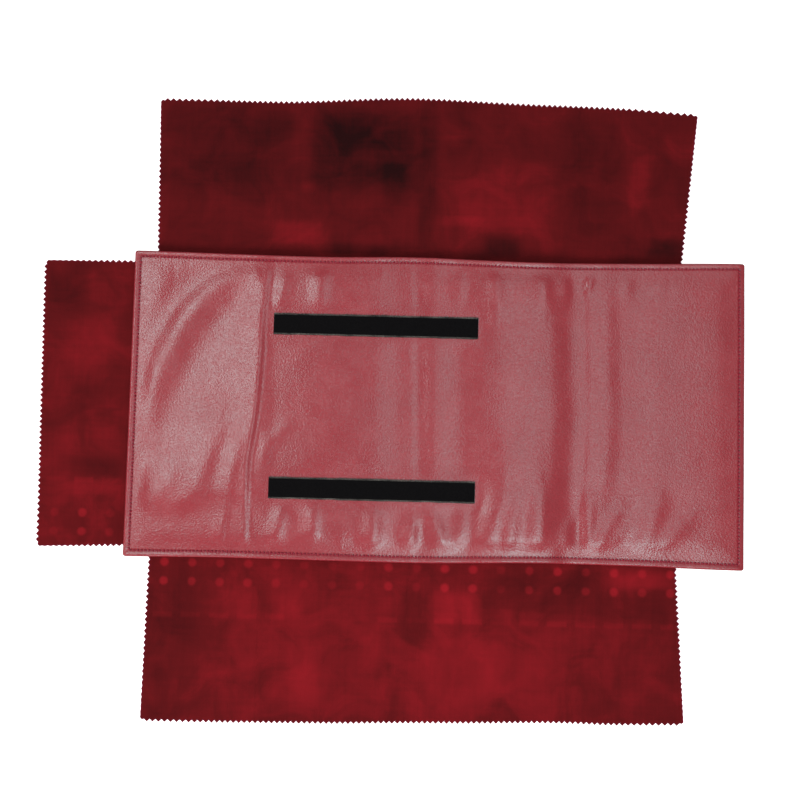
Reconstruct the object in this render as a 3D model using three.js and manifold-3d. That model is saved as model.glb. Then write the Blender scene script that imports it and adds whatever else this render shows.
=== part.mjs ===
// Jewelry roll, laid open with its outside up: a padded leather panel that folds in three places,
// three velvet flaps with pinked edges, snap straps on its lining and hook-and-loop closing tapes.
// Millimetres, +Z up. The roll lies on the plane z = 0, with its bounding box centred over the origin.

import * as THREE from 'three';
import { mergeVertices } from 'three/addons/utils/BufferGeometryUtils.js';
import Module from 'manifold-3d';

// Folding sections, named from left to right: core, middle, inner spine, base, outer spine, closing
const coreLength = 125;
const middleLength = 137;
const closingLength = 127;
const wrapEase = 2.5;
const stackEase = 0.8;
const foldGap = 0.3;
const panelWidth = 284;
const cornerRadius = 6;

// Layers of the panel
const leatherThickness = 1.2;
const paddingThickness = 3;
const liningThickness = 1;
const liningInset = 1;
const borderWidth = 12;
const borderSlope = 5;
const borderThickness = 2.6;
const borderRound = 1.5;
const seatGap = 0.3;

// Velvet flaps and the hems that join them to the lining
const flapThickness = 1;
const flapReach = 145;
const flapLeftInset = 23;
const flapRightInset = 55;
const leftFlapReach = 80;
const leftFlapEndInset = 10;
const hingeInset = 2.5;
const hemThickness = 1;
const layerGap = 0.3;
const pinkPitch = 5;
const pinkDepth = 2.5;

// Snap straps on the lining
const strapWidth = 16;
const strapLength = 55;
const strapThickness = 1.2;
const strapEdgeInset = 18;
const strapMargin = 4;
const snapTipInset = 8;
const snapSpacing = 16;
const capRadius = 5.3;
const capCrownRadius = 4.2;
const capHeight = 1.6;
const studRadius = 2;
const studHeight = 1;
const socketClearance = 0.4;
const strapCounts = { core: 4, middle: 5, base: 5 };

// Hook-and-loop tapes
const tapeWidth = 20;
const tapeThickness = 1.6;
const tapeOffset = 76;
const loopLength = 190;
const loopFoldInset = 7;
const hookLength = 34;

// Facets of the round pieces
const capSides = 16;
const studSides = 8;
const arcSteps = 4;

// Heights of the layers, from the table up: three closed flaps, the straps, then the panel
const flapStep = flapThickness + layerGap;
const hemFoot = { bottom: flapStep, top: 2 * flapStep, left: 3 * flapStep };
const strapBottom = hemFoot.left + capHeight;
const strapTop = strapBottom + strapThickness;
const liningBottom = strapTop + layerGap;
const liningTop = liningBottom + liningThickness;
const paddingTop = liningTop + paddingThickness;
const fieldTop = paddingTop + leatherThickness;
const borderTop = liningTop + borderThickness;

// Lengths that let one section wrap round another
const baseLength = middleLength + wrapEase;
const innerSpineLength = fieldTop + stackEase;
const outerSpineLength = innerSpineLength + fieldTop + tapeThickness + stackEase;

const sections = [
  { name: 'core', length: coreLength },
  { name: 'middle', length: middleLength },
  { name: 'inner_spine', length: innerSpineLength },
  { name: 'base', length: baseLength },
  { name: 'outer_spine', length: outerSpineLength },
  { name: 'closing', length: closingLength },
];
const panelLength = sections.reduce((sum, section) => sum + section.length, 0);
const panelLeft = (leftFlapReach - panelLength) / 2;
const panelRight = panelLeft + panelLength;
const halfWidth = panelWidth / 2;
const hingeY = halfWidth - hingeInset;
const hingeX = panelLeft + hingeInset;
const halfHem = hemThickness / 2;

let sectionStart = panelLeft;
for (const section of sections) {
  section.leftEnd = section.name === 'core';
  section.rightEnd = section.name === 'closing';
  section.padded = !section.name.endsWith('spine');
  section.left = section.leftEnd ? sectionStart : sectionStart + foldGap / 2;
  sectionStart += section.length;
  section.right = section.rightEnd ? sectionStart : sectionStart - foldGap / 2;
  section.flapLeft = Math.max(section.left, panelLeft + flapLeftInset);
  section.flapRight = Math.min(section.right, panelRight - flapRightInset);
}

const leather = new THREE.MeshStandardMaterial({ color: 0x9c4a52, roughness: 0.45, metalness: 0 });
const foam = new THREE.MeshStandardMaterial({ color: 0xd8d2c8, roughness: 0.95, metalness: 0 });
const velvet = new THREE.MeshStandardMaterial({ color: 0x6a141c, roughness: 0.95, metalness: 0 });
const tape = new THREE.MeshStandardMaterial({ color: 0x141414, roughness: 0.9, metalness: 0 });

const wasm = await Module();
wasm.setup();

// A closed solid, ready to join or cut, from a closed geometry
function solidOf(geometry) {
  const bare = geometry.clone();
  bare.deleteAttribute('normal');
  bare.deleteAttribute('uv');
  const merged = mergeVertices(bare);
  const vertProperties = new Float32Array(merged.attributes.position.array);
  const triVerts = new Uint32Array(merged.index.array);
  return new wasm.Manifold(new wasm.Mesh({ numProp: 3, vertProperties, triVerts }));
}

// A geometry from a joined or cut solid
function geometryOf(solid) {
  const { vertProperties, triVerts } = solid.getMesh();
  const geometry = new THREE.BufferGeometry();
  geometry.setAttribute('position', new THREE.BufferAttribute(new Float32Array(vertProperties), 3));
  geometry.setIndex(new THREE.BufferAttribute(new Uint32Array(triVerts), 1));
  geometry.computeVertexNormals();
  return geometry;
}

function box(x, y, z) {
  const geometry = new THREE.BoxGeometry(x[1] - x[0], y[1] - y[0], z[1] - z[0]);
  return geometry.translate((x[0] + x[1]) / 2, (y[0] + y[1]) / 2, (z[0] + z[1]) / 2);
}

// A flat outline made into a plate between two heights
function plate(shape, bottom, top) {
  const settings = { depth: top - bottom, bevelEnabled: false, curveSegments: arcSteps };
  return new THREE.ExtrudeGeometry(shape, settings).translate(0, 0, bottom);
}

// A round post standing along Z
function post(radiusTop, radiusBottom, sides, x, y, bottom, top) {
  const geometry = new THREE.CylinderGeometry(radiusTop, radiusBottom, top - bottom, sides);
  return geometry.rotateX(Math.PI / 2).translate(x, y, (bottom + top) / 2);
}

// Outline of the panel's thickness across one direction: a rounded, lower border at each finished end
function thicknessProfile(low, high, lowBordered, highBordered) {
  const shape = new THREE.Shape();
  shape.moveTo(low, liningTop);
  shape.lineTo(high, liningTop);
  if (highBordered) {
    shape.absarc(high - borderRound, borderTop - borderRound, borderRound, 0, Math.PI / 2, false);
    shape.lineTo(high - borderWidth + borderSlope, borderTop);
    shape.lineTo(high - borderWidth, fieldTop);
  } else {
    shape.lineTo(high, fieldTop);
  }
  if (lowBordered) {
    shape.lineTo(low + borderWidth, fieldTop);
    shape.lineTo(low + borderWidth - borderSlope, borderTop);
    shape.absarc(low + borderRound, borderTop - borderRound, borderRound, Math.PI / 2, Math.PI, false);
  } else {
    shape.lineTo(low, fieldTop);
  }
  shape.closePath();
  return shape;
}

// Plan outline of a section, with round corners where the panel ends
function planOutline(section) {
  const { left, right } = section;
  const shape = new THREE.Shape();
  if (section.leftEnd) {
    shape.absarc(left + cornerRadius, -halfWidth + cornerRadius, cornerRadius, Math.PI, 1.5 * Math.PI, false);
  } else {
    shape.moveTo(left, -halfWidth);
  }
  if (section.rightEnd) {
    shape.absarc(right - cornerRadius, -halfWidth + cornerRadius, cornerRadius, 1.5 * Math.PI, 2 * Math.PI, false);
    shape.absarc(right - cornerRadius, halfWidth - cornerRadius, cornerRadius, 0, Math.PI / 2, false);
  } else {
    shape.lineTo(right, -halfWidth);
    shape.lineTo(right, halfWidth);
  }
  if (section.leftEnd) {
    shape.absarc(left + cornerRadius, halfWidth - cornerRadius, cornerRadius, Math.PI / 2, Math.PI, false);
  } else {
    shape.lineTo(left, halfWidth);
  }
  shape.closePath();
  return shape;
}

// Reach of the space that the cover's borders leave for the padding in a section
function paddingSpan(section) {
  const left = section.leftEnd ? section.left + borderWidth : section.left;
  const right = section.rightEnd ? section.right - borderWidth : section.right;
  return [left, right];
}

// Leather cover: its thickness profiles along both directions meet in a mitre at the panel's corners
function coverGeometry(section) {
  const { left, right } = section;
  const settings = { bevelEnabled: false, curveSegments: arcSteps };
  const across = new THREE.ExtrudeGeometry(
    thicknessProfile(-halfWidth, halfWidth, true, true),
    { ...settings, depth: right - left },
  );
  const alongX = new THREE.Matrix4().set(0, 0, 1, left, 1, 0, 0, 0, 0, 1, 0, 0, 0, 0, 0, 1);
  across.applyMatrix4(alongX);
  const along = new THREE.ExtrudeGeometry(
    thicknessProfile(left, right, section.leftEnd, section.rightEnd),
    { ...settings, depth: panelWidth },
  );
  along.rotateX(Math.PI / 2).translate(0, halfWidth, 0);
  const plan = plate(planOutline(section), liningTop - borderThickness, fieldTop + borderThickness);
  const [padLeft, padRight] = paddingSpan(section);
  const slack = foldGap;
  const cavity = box(
    [section.leftEnd ? padLeft : padLeft - slack, section.rightEnd ? padRight : padRight + slack],
    [-halfWidth + borderWidth, halfWidth - borderWidth],
    [liningTop - slack, paddingTop],
  );
  const solid = solidOf(across)
    .intersect(solidOf(along))
    .intersect(solidOf(plan))
    .subtract(solidOf(cavity));
  return geometryOf(solid);
}

// Foam padding under the leather field
function paddingGeometry(section) {
  const [left, right] = paddingSpan(section);
  const reach = halfWidth - borderWidth - seatGap;
  return box(
    [section.leftEnd ? left + seatGap : left, section.rightEnd ? right - seatGap : right],
    [-reach, reach],
    [liningTop, paddingTop],
  );
}

// Centres of the straps, spread evenly over the lining of a section
function strapCentres(section) {
  const count = strapCounts[section.name] ?? 0;
  const [left, right] = paddingSpan(section);
  const pitch = (right - left - 2 * strapMargin) / count;
  return Array.from({ length: count }, (unused, i) => left + strapMargin + pitch * (i + 0.5));
}

const strapTipY = -halfWidth + strapEdgeInset;
const strapRootY = strapTipY + strapLength;
const snapRows = [strapTipY + snapTipInset, strapTipY + snapTipInset + snapSpacing];

// Velvet lining with the sewn-down hems of the flaps and the studs of the snaps
function liningGeometry(section) {
  const left = section.leftEnd ? section.left + liningInset : section.left;
  const right = section.rightEnd ? section.right - liningInset : section.right;
  const reach = halfWidth - liningInset;
  const rooted = liningBottom + liningThickness / 2;
  let solid = solidOf(box([left, right], [-reach, reach], [liningBottom, liningTop]));
  const hems = [
    box([section.flapLeft, section.flapRight], [hingeY - halfHem, hingeY + halfHem], [hemFoot.top, rooted]),
    box([section.flapLeft, section.flapRight], [-hingeY - halfHem, -hingeY + halfHem], [hemFoot.bottom, rooted]),
  ];
  if (section.leftEnd) {
    const end = halfWidth - leftFlapEndInset;
    hems.push(box([hingeX - halfHem, hingeX + halfHem], [-end, end], [hemFoot.left, rooted]));
  }
  for (const hem of hems) {
    solid = solid.add(solidOf(hem));
  }
  for (const x of strapCentres(section)) {
    for (const y of snapRows) {
      const stud = post(studRadius, studRadius, studSides, x, y, liningBottom - studHeight, rooted);
      solid = solid.add(solidOf(stud));
    }
  }
  return geometryOf(solid);
}

// Points along a pinked edge: the teeth reach the line from start to end
function pinkedEdge(start, end, inward) {
  const teeth = Math.max(1, Math.round(start.distanceTo(end) / pinkPitch));
  const points = [];
  for (let i = 0; i < teeth; i += 1) {
    points.push(start.clone().lerp(end, i / teeth).addScaledVector(inward, pinkDepth));
    points.push(start.clone().lerp(end, (i + 0.5) / teeth));
  }
  points.push(end.clone().addScaledVector(inward, pinkDepth));
  return points;
}

// Outline points of a flap that points along +Y from its root, pinked at its tip and at its free sides
function flapOutline(left, right, root, freeStart, tip, leftFree, rightFree) {
  const rightward = new THREE.Vector2(1, 0);
  const leftward = new THREE.Vector2(-1, 0);
  const downward = new THREE.Vector2(0, -1);
  const at = (x, y) => new THREE.Vector2(x, y);
  const points = [at(left + (leftFree ? pinkDepth : 0), root)];
  if (leftFree) {
    points.push(...pinkedEdge(at(left, freeStart), at(left, tip - pinkDepth), rightward));
  }
  const tipLeft = leftFree ? left + 2 * pinkDepth : left;
  const tipRight = rightFree ? right - 2 * pinkDepth : right;
  points.push(...pinkedEdge(at(tipLeft, tip), at(tipRight, tip), downward));
  if (rightFree) {
    points.push(...pinkedEdge(at(right, tip - pinkDepth), at(right, freeStart), leftward));
  }
  points.push(at(right - (rightFree ? pinkDepth : 0), root));
  return points;
}

// A flap with the folded bead at its hinge, whose height carries it to its level when it is closed
function flapGeometry(outline, beadX, beadY, foot) {
  const sheet = plate(new THREE.Shape(outline), 0, flapThickness);
  const bead = box(beadX, beadY, [0, foot - layerGap]);
  return geometryOf(solidOf(sheet).add(solidOf(bead)));
}

// The stretch of the top flap (side 1) or the bottom flap (side -1) that hangs from one section
function endFlapGeometry(section, side, foot) {
  const leftFree = section.leftEnd;
  const rightFree = section.rightEnd;
  const root = hingeY - halfHem;
  const { flapLeft, flapRight } = section;
  const tip = halfWidth + flapReach;
  const upward = flapOutline(flapLeft, flapRight, root, halfWidth, tip, leftFree, rightFree);
  const outline = upward.map((point) => new THREE.Vector2(point.x, side * point.y));
  const beadX = [flapLeft + (leftFree ? pinkDepth : 0), flapRight - (rightFree ? pinkDepth : 0)];
  const beadY = [side * hingeY - halfHem, side * hingeY + halfHem];
  return flapGeometry(outline, beadX, beadY, foot);
}

// The flap on the panel's left end, drawn pointing along +Y and turned to point along -X
function leftFlapGeometry() {
  const end = halfWidth - leftFlapEndInset;
  const root = -hingeInset - halfHem;
  const outline = flapOutline(-end, end, root, 0, leftFlapReach, true, true);
  const beadX = [-end + pinkDepth, end - pinkDepth];
  const geometry = flapGeometry(outline, beadX, [root, root + hemThickness], hemFoot.left);
  return geometry.rotateZ(Math.PI / 2);
}

// Snap strap, with its root at the origin: two caps on its outer side over sockets on its inner side
function strapGeometry() {
  const half = strapWidth / 2;
  const shape = new THREE.Shape();
  shape.moveTo(half, 0);
  shape.lineTo(-half, 0);
  shape.lineTo(-half, -strapLength + half);
  shape.absarc(0, -strapLength + half, half, Math.PI, 2 * Math.PI, false);
  shape.closePath();
  let solid = solidOf(plate(shape, strapBottom, strapTop));
  const rooted = (strapBottom + strapTop) / 2;
  const socketBottom = liningBottom - studHeight - socketClearance;
  const socketRadius = studRadius + socketClearance;
  for (const row of snapRows) {
    const y = row - strapRootY;
    const cap = post(capRadius, capCrownRadius, capSides, 0, y, strapBottom - capHeight, rooted);
    solid = solid.add(solidOf(cap));
    const socket = post(socketRadius, socketRadius, studSides, 0, y, socketBottom, strapTop + layerGap);
    solid = solid.subtract(solidOf(socket));
  }
  return geometryOf(solid);
}

// Stretches of a loop tape, one for each section that the tape crosses
function loopStretches() {
  const start = panelLeft + coreLength + loopFoldInset;
  const end = start + loopLength;
  return sections
    .map((section) => ({ name: section.name, left: Math.max(start, section.left), right: Math.min(end, section.right) }))
    .filter((stretch) => stretch.right - stretch.left > foldGap);
}

const roll = new THREE.Group();

function addPiece(name, geometry, material) {
  const mesh = new THREE.Mesh(geometry, material);
  mesh.name = name;
  roll.add(mesh);
  return mesh;
}

for (const section of sections) {
  addPiece(`cover_${section.name}`, coverGeometry(section), leather);
  if (section.padded) {
    addPiece(`padding_${section.name}`, paddingGeometry(section), foam);
  }
  addPiece(`lining_${section.name}`, liningGeometry(section), velvet);
  addPiece(`top_flap_${section.name}`, endFlapGeometry(section, 1, hemFoot.top), velvet);
  addPiece(`bottom_flap_${section.name}`, endFlapGeometry(section, -1, hemFoot.bottom), velvet);
  strapCentres(section).forEach((x, i) => {
    addPiece(`strap_${section.name}_${i + 1}`, strapGeometry(), velvet).position.set(x, strapRootY, 0);
  });
}

addPiece('left_flap', leftFlapGeometry(), velvet).position.set(panelLeft, 0, 0);

for (const [side, y] of [['upper', tapeOffset], ['lower', -tapeOffset]]) {
  const reach = [y - tapeWidth / 2, y + tapeWidth / 2];
  for (const stretch of loopStretches()) {
    const loop = box([stretch.left, stretch.right], reach, [fieldTop, fieldTop + tapeThickness]);
    addPiece(`loop_${side}_${stretch.name}`, loop, tape);
  }
  const hookRight = panelRight - borderWidth;
  const hook = box([hookRight - hookLength, hookRight], reach, [liningBottom - tapeThickness, liningBottom]);
  addPiece(`hook_${side}`, hook, tape);
}

export default roll;
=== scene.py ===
# The looks of the jewelry roll: padded leather, velvet flaps, loop tapes, thread and snap straps.
import math

import bpy
import numpy as np
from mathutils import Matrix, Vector


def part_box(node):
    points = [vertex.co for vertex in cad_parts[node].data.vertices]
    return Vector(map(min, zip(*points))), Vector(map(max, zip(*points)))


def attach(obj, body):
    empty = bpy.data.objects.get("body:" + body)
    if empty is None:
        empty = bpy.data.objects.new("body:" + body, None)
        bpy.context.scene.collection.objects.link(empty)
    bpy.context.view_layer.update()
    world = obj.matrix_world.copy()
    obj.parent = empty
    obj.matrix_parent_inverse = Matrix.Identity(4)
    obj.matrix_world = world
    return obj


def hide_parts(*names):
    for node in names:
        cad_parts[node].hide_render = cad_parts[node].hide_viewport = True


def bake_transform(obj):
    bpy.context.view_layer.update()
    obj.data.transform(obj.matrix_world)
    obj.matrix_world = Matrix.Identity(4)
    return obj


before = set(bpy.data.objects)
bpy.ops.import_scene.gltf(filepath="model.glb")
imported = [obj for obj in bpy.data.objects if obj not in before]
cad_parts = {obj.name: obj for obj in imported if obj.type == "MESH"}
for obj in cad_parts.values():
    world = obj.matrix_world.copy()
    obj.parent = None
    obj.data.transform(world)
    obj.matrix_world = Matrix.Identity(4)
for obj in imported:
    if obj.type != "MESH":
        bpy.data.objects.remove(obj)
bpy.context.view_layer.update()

MM = 0.001
SHARP_ANGLE = math.radians(55)
NOISE_TABLE = 128

# The camera, fitted to the corners of the object in the photograph
CAMERA_PLACE = (0.01548, -0.06492, 1.03626)
CAMERA_TURN = (4.061, 0.393, 1.446)
CAMERA_LENS = 50

# The floor lies low enough for the folded roll and the open straps to show above it
FLOOR_LEVEL = -0.06
FLOOR_SIZE = 12.0
FLOOR_GLOW = 0.8
WORLD_GLOW = 0.35

# Soft boxes: place, the point that each faces, size, power, colour, and whether the leather mirrors it
WHITE = (1.0, 1.0, 1.0)
COOL = (0.78, 0.98, 1.0)
LIGHTS = {
    "key": ((-1.0, -1.7, 1.7), (0, 0, 0), (1.0, 1.0), 50, WHITE, False),
    "key_sheen": ((-0.98, -1.666, 1.666), (0, 0, 0), (1.0, 1.0), 12, WHITE, True),
    "gloss_left": ((-0.68, 0.33, 1.5), (0, 0.33, 0), (0.15, 0.92), 3.4, WHITE, True),
    "gloss_left_soft": ((-0.68, 0.33, 1.5), (0, 0.33, 0), (0.42, 1.1), 5.0, WHITE, True),
    "gloss_right": ((0.33, -0.3, 1.5), (0, -0.3, 0), (0.2, 1.3), 2.0, COOL, True),
    "gloss_right_soft": ((0.33, 0.05, 1.5), (0, 0.05, 0), (0.54, 2.0), 5.2, COOL, True),
    "gloss_low": ((0.3, -0.6, 1.5), (0, -0.6, 0), (0.5, 0.5), 4, COOL, True),
}

# The sections of the panel, from left to right, and where the panel's looks are cut, halfway between folds
SECTIONS = ("core", "middle", "inner_spine", "base", "outer_spine", "closing")
COVERS = {name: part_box("cover_" + name) for name in SECTIONS}
FOLDS = [(COVERS[a][1].x + COVERS[b][0].x) / 2 for a, b in zip(SECTIONS, SECTIONS[1:])]
LEFT = COVERS["core"][0].x
RIGHT = COVERS["closing"][1].x
HALF_WIDTH = COVERS["base"][1].y
CUTS = [(FOLDS[k] + FOLDS[k + 1]) / 2 for k in range(4)]

# The sections in each stretch between the cuts, and how far its fold bends to each side of its line
STRETCHES = (("core",), ("middle",), ("inner_spine",), ("base", "outer_spine"), ("closing",))
BENDS = [(a, b, reach * MM) for a, b, reach in zip(SECTIONS, SECTIONS[1:], (12, 5, 5, 9, 9))]

# Leather: levels of its surface, the turned and stitched border, and the step of its mesh
FIELD_LEVEL = 10.6 * MM
LOWEST_FIELD = 8.3 * MM
FIELD_EASE = 0.5 * MM
EDGE_LEVEL = 9.2 * MM
LEFT_EDGE_RISE = 0.4 * MM
LEFT_RISE_REACH = 20 * MM
RIGHT_EDGE_RISE = 1.2 * MM
RIGHT_RISE_STOP = 8 * MM
RIGHT_EDGE_TURN = 1.3 * MM
STITCH_INSET = 5.2 * MM
LIP_HEIGHT = 0.9 * MM
LIP_FALL = 0.7 * MM
LIP_CREST = 0.3 * STITCH_INSET
STITCH_GROOVE = 0.2 * MM
GROOVE_WIDTH = 0.6 * MM
# Painted shade along the stitch channel: its width and its darkness
CHANNEL_WIDTH = 2.6 * MM
CHANNEL_SHADE = 0.55
NEAR_RISE = 17 * MM
FAR_RISE = 22 * MM
NEAR_SHARE = 0.3
CORNER_RADIUS = 2 * MM
LEATHER_STEP = 1.75 * MM
BORDER_STEPS = np.array((0, 0.3, 0.8, 1.5, 2.2, 2.9, 3.6, 4.2, 4.7, 5.2, 5.7, 6.3, 7.2, 8.6, 10.2, 12)) * MM
EDGE_FOLLOW = 0.6
CREASE_LEAN = 0.025

# Rings of the turned rim: reach past the edge in millimetres, and share of the way down to the rim's level
RIM_LEVEL = 4.0 * MM
# The rim's rings carry this inset, which marks them for the painted shade
RIM_INSET = -1.0 * MM
RIM = [(0.35, 0.15), (0.5, 0.43), (0.3, 0.74), (-0.8, 0.94), (-4.0, 1.0), (-9.0, 1.0)]

# How far the long edges draw in, by place along the panel, in millimetres
UPPER_EDGE = ((-245, 0), (-67, -1.8), (17, -0.2), (130, -2.6), (242, -1.0), (325, 0.4))
LOWER_EDGE = ((-246, 0), (-150, -1.0), (15, -0.4), (150, -3.2), (235, -2.6), (325, -1.2))

# The tuck in the lower edge at the outer fold draws the creases beside it together
TUCK_PLACE = 195 * MM
TUCK_REACH = 35 * MM
TUCK_PULL = 13 * MM

# Crests and valleys across the panel: place along the panel and height, in millimetres
WAVES = (
    (-246, -1.3), (-222, -0.8), (-195, -0.9), (-150, -0.7), (-121, 0.0), (-111, -0.3), (-99, 0.0),
    (-70, 0.6), (-40, 0.8), (-18, 0.6), (8, -0.8), (17, -0.9), (24, -1.5), (39, -0.4), (60, -1.2),
    (86, 1.3), (106, 2.5), (127, 2.4), (145, 1.6), (172, -2.5), (177, -2.5), (184, -1.7), (199, -1.1),
    (213, -1.9), (250, -0.5), (296, 0.8), (325, 1.1),
)

# Seeded unevenness, in layers of height, cell and seed; the first and third are shares of a height
WAVE_CHANGE = ((0.3, 60 * MM, 1),)
FIELD_DENTS = ((0.25 * MM, 38 * MM, 2), (0.06 * MM, 13 * MM, 3))
CLOTH_WAVES = ((0.35, 45 * MM, 11), (0.15, 16 * MM, 12))
LINING_DENTS = ((0.1 * MM, 20 * MM, 21),)
TAPE_PILE = ((0.12 * MM, 1.6 * MM, 31), (0.08 * MM, 5 * MM, 32))
TAPE_WAVER = ((0.25 * MM, 9 * MM, 33),)

# Single wrinkles, in millimetres: path from top to bottom, height, widths of the left and right flanks, crest
WRINKLES = (
    # The ridge where the core folds, with its branch
    (
        ((-120, 140), (-123, 90), (-127, 7), (-131, -30), (-134, -54), (-134, -90), (-133, -138)),
        2.4, 24, 3.6, 1.2,
    ),
    (((-95, -17), (-112, -35), (-117, -55)), 0.8, 8, 6),
    (((-103, 124), (-106, 106), (-111, 88)), 1.2, 8, 7),
    # The fan that runs down from the top of that ridge across the core
    (((-156, 131), (-178, 122), (-195, 109), (-209, 93), (-219, 74), (-228, 52)), -1.5, 14, 10),
    (((-143, 125), (-170, 105), (-190, 85), (-205, 60), (-220, 25), (-234, -2)), 1.4, 12, 16),
    (((-134, 120), (-160, 85), (-180, 55), (-195, 20), (-212, -25), (-234, -62)), -1.4, 16, 18),
    # The lower half of the core falls away below a crest with three fingers
    (((-234, -83), (-201, -88), (-174, -78), (-132, -77)), 1.6, 14, 40),
    (((-198, -56), (-208, -74), (-222, -88)), 0.8, 13, 10),
    (((-160, -20), (-170, -50), (-182, -84)), 1.0, 14, 9),
    (((-140, -28), (-147, -58), (-151, -88)), 0.9, 10, 7),
    (((-149, -88), (-154, -111), (-156, -135)), 0.8, 6, 4),
    # Bumps beside the tapes on the middle
    (((-69, 134), (-70, 107), (-70, 88)), 1.4, 9, 8),
    (((-100, -92), (-103, -110), (-109, -134)), 1.7, 10, 8),
    (((-72, -90), (-70, -105), (-71, -126)), 1.4, 9, 7),
    (((-18, -92), (-15, -108), (-17, -132)), 1.8, 10, 8),
    (((27, -92), (21, -112), (17, -134)), 1.5, 10, 7),
    # Puckers along the lower edge of the base, gathered into a tuck at the outer fold
    (((31, -88), (45, -113), (53, -132)), 1.3, 9, 7),
    (((65, -86), (66, -110), (57, -132)), 1.3, 9, 7),
    (((104, -72), (95, -102), (88, -132)), 1.6, 12, 8),
    (((117, -80), (112, -109), (108, -133)), 1.2, 9, 7),
    (((139, -70), (139, -103), (135, -133)), 1.7, 12, 8),
    (((173, -92), (163, -112), (166, -134)), 1.6, 8, 7),
    (((171, -80), (173, -107), (175, -134)), -0.9, 6, 6),
    (((184, -78), (182, -107), (180, -134)), 1.2, 8, 6),
    (((211, -88), (196, -113), (185, -131)), 1.6, 8, 7),
    (((221, -102), (202, -120), (191, -133)), 1.1, 7, 6),
    (((247, -82), (239, -104), (229, -128)), 1.6, 13, 9),
    (((274, -98), (259, -111), (242, -126)), 1.3, 11, 8),
    # Puckers along the upper edge of the base and the closing section
    (((58, 136), (60, 117), (59, 96)), 1.1, 9, 6),
    (((91, 136), (93, 116), (95, 90)), 1.2, 10, 7),
    (((137, 136), (138, 116), (140, 96)), 1.2, 10, 6),
    (((157, 134), (158, 120), (159, 104)), 0.9, 7, 5),
    (((169, 138), (171, 120), (173, 92)), -1.2, 6, 5),
    (((183, 138), (181, 124), (177, 110)), 1.2, 4, 4),
    (((218, 136), (216, 123), (214, 106)), 0.9, 9, 6),
)
WRINKLE_REACH = 3
WRINKLE_END = 0.12

# Puckers that the stitch line draws into the edge of the padding
PUCKER_COUNT = 90
PUCKER_HEIGHT = 0.5 * MM
PUCKER_LENGTHS = (9.6 * MM, 24 * MM)
PUCKER_WIDTHS = (2.24 * MM, 5.12 * MM)
PUCKER_LEAN = 0.3
PUCKER_REACH = 6
PUCKER_MARGIN = 20 * MM

# Thread: a stitch is a row of rings, each with its place along it, its girth and its lift
STITCH_LENGTH = 2.4 * MM
STITCH_PITCH = 3.4 * MM
STITCH_SIDES = 6
STITCH_LIFT = 0.5
STITCH_SHAPE = ((-0.5, 0.25, -1.0), (-0.4, 0.8, -0.1), (0.0, 1.0, 0.35), (0.4, 0.8, -0.1), (0.5, 0.25, -1.0))
THREAD_RADIUS = 0.8 * MM

# Velvet flaps: cloth, pinked edge, sewn root, and each flap's way out from the panel
CLOTH = 0.5 * MM
CLOTH_STEP = 2.5 * MM
CLOTH_WAVE = 0.42 * MM
PINK_PITCH = 5 * MM
PINK_DEPTH = 2.5 * MM
PINK_MARGIN = 1.2 * MM
TOOTH_GAP = 0.2 * MM
CUT_WIDTH = 0.7 * MM
HINGE_INSET = 2.5 * MM
LEAF_LAP = 0.9 * MM
LAP_SHARE = 0.4
HEM_REACH = 7 * MM
HEM_START = 1 * MM
HEM_END = 6 * MM
ROOT_STEPS = [-HEM_REACH] + [s * MM for s in (-4, -1.2, -0.4, 0.4, 1.2, 2.2, 3.5, 5.5, 8)]
ROOT_LEVEL = 2.9 * MM
FLAP_WAYS = {"top": (0, 1), "bottom": (0, -1), "left": (-1, 0)}

# How a flap departs from a rectangle, in millimetres: along its tip, and at root and tip of both sides
TIP_OFFSETS = {
    "top": ((-222, 5), (-120, 4.5), (13, 10.5), (114, 7.5), (213, 5), (270, 1)),
    "bottom": ((-222, 6), (-55, 4), (10, 2), (73, 0.5), (170, -2), (201, -1.5), (270, -3)),
    "left": ((-132, 4), (-17, 6), (39, 7), (132, 8.3)),
}
SIDE_OFFSETS = {"top": (5, 8.5, -0.5, 14.5), "bottom": (2, 4.5, -4, 5), "left": (2, 5, 3, 2.2)}
SIDE_FADE = 60 * MM

# Where the velvet is lighter or darker, for the lay of its pile and as painted light and shade: centre, half
# width and half height in millimetres, and amount
PILE_AND_LIGHT_PATCHES = (
    # Top flap
    # The first patch is painted shade over the whole top flap
    (24, 215, 262, 80, -0.12), (-33, 246, 58, 40, -0.7), (-160, 246, 67, 42, -0.4), (-93, 246, 11, 43, 0.25),
    (-93, 165, 24, 12, 0.5), (-85, 209, 7, 5, 0.3),
    (94, 197, 55, 39, 0.4), (60, 179, 24, 5, 0.3), (98, 156, 18, 11, -0.6),
    (28, 218, 9, 63, -0.3), (180, 234, 33, 49, -0.2), (228, 218, 11, 22, 0.35), (257, 157, 22, 10, -0.6),
    (-32, 150, 36, 6, -0.4), (-18, 239, 24, 7, 0.2), (49, 259, 11, 3, 0.2), (-190, 160, 40, 22, -0.1),
    # Bottom flap
    # The first patch is painted light over the whole bottom flap
    (24, -215, 262, 80, 0.29), (141, -166, 57, 25, -0.4), (27, -188, 13, 35, -0.35), (64, -182, 20, 15, 0.45),
    (234, -153, 28, 8, 0.5), (230, -180, 39, 16, -0.3), (-205, -217, 34, 71, -0.35),
    (-76, -247, 15, 41, 0.25),
    (65, -247, 40, 37, 0.3), (240, -239, 30, 41, -0.05), (121, -180, 21, 14, 0.25), (-141, -186, 14, 14, 0.2),
    (-95, -186, 15, 12, 0.2),
    # Left flap
    (-290, 0, 40, 140, 0.15), (-310, 102, 19, 20, -0.4), (-288, 52, 21, 23, 0.2), (-286, 5, 13, 12, -0.3),
    (-274, -61, 26, 9, -0.4), (-278, -80, 27, 6, 0.25),
)

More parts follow.
